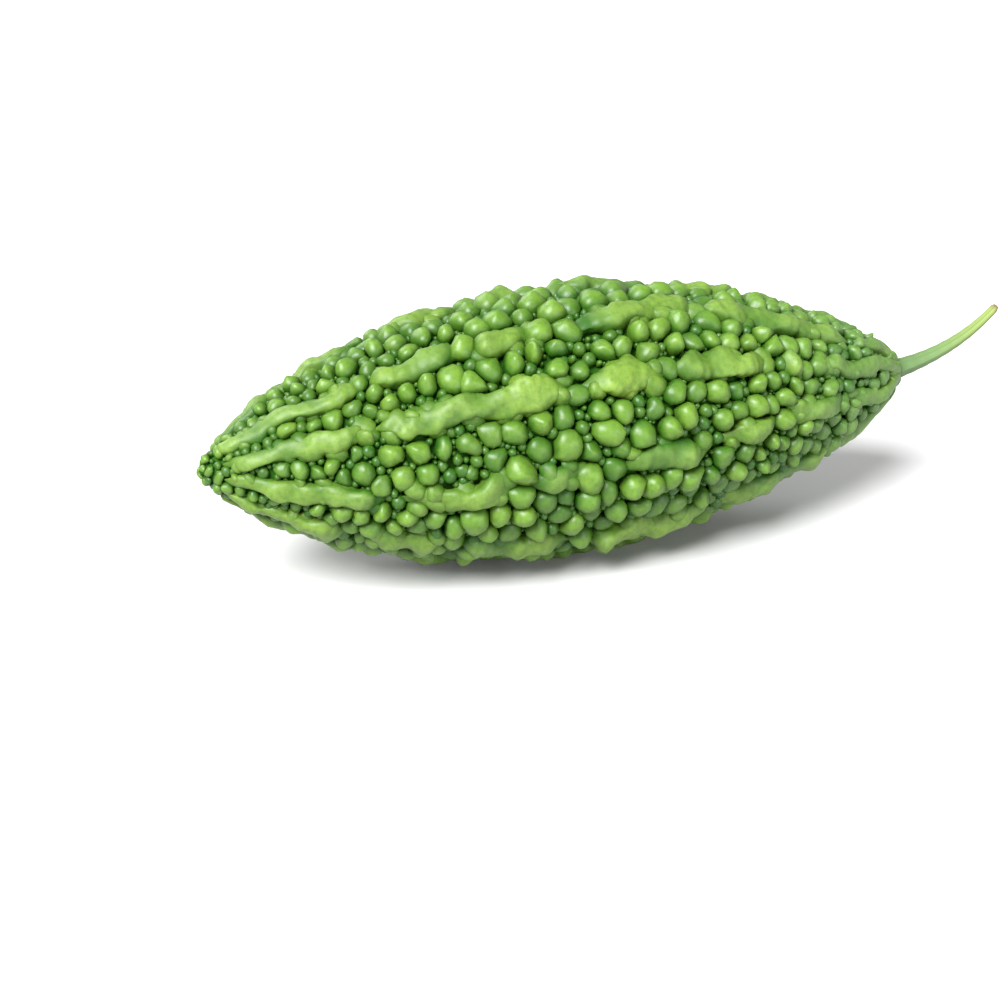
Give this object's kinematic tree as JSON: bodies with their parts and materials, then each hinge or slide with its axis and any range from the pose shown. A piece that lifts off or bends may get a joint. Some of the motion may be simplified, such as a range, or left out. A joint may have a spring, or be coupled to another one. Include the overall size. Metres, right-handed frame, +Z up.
{
  "type": "bitter gourd",
  "caption": "Whole bitter gourd lying on its side: a spindle-shaped fruit with broken ridges and packed warts, and a thin bent stem.",
  "frame": {"origin": "middle of the whole object's box, stem included, on the table", "axes": "+X along the fruit towards its stem, +Z up as it lies, -Y the side that faces the viewer"},
  "size_m": [0.2282, 0.0732, 0.0704],
  "materials": {
    "gourd_skin": "waxy fresh green skin, satin",
    "stem_skin": "dull pale green stalk"
  },
  "bodies": {
    "root": {"gourd": "gourd_skin", "stem": "stem_skin"}
  },
  "joints": []
}
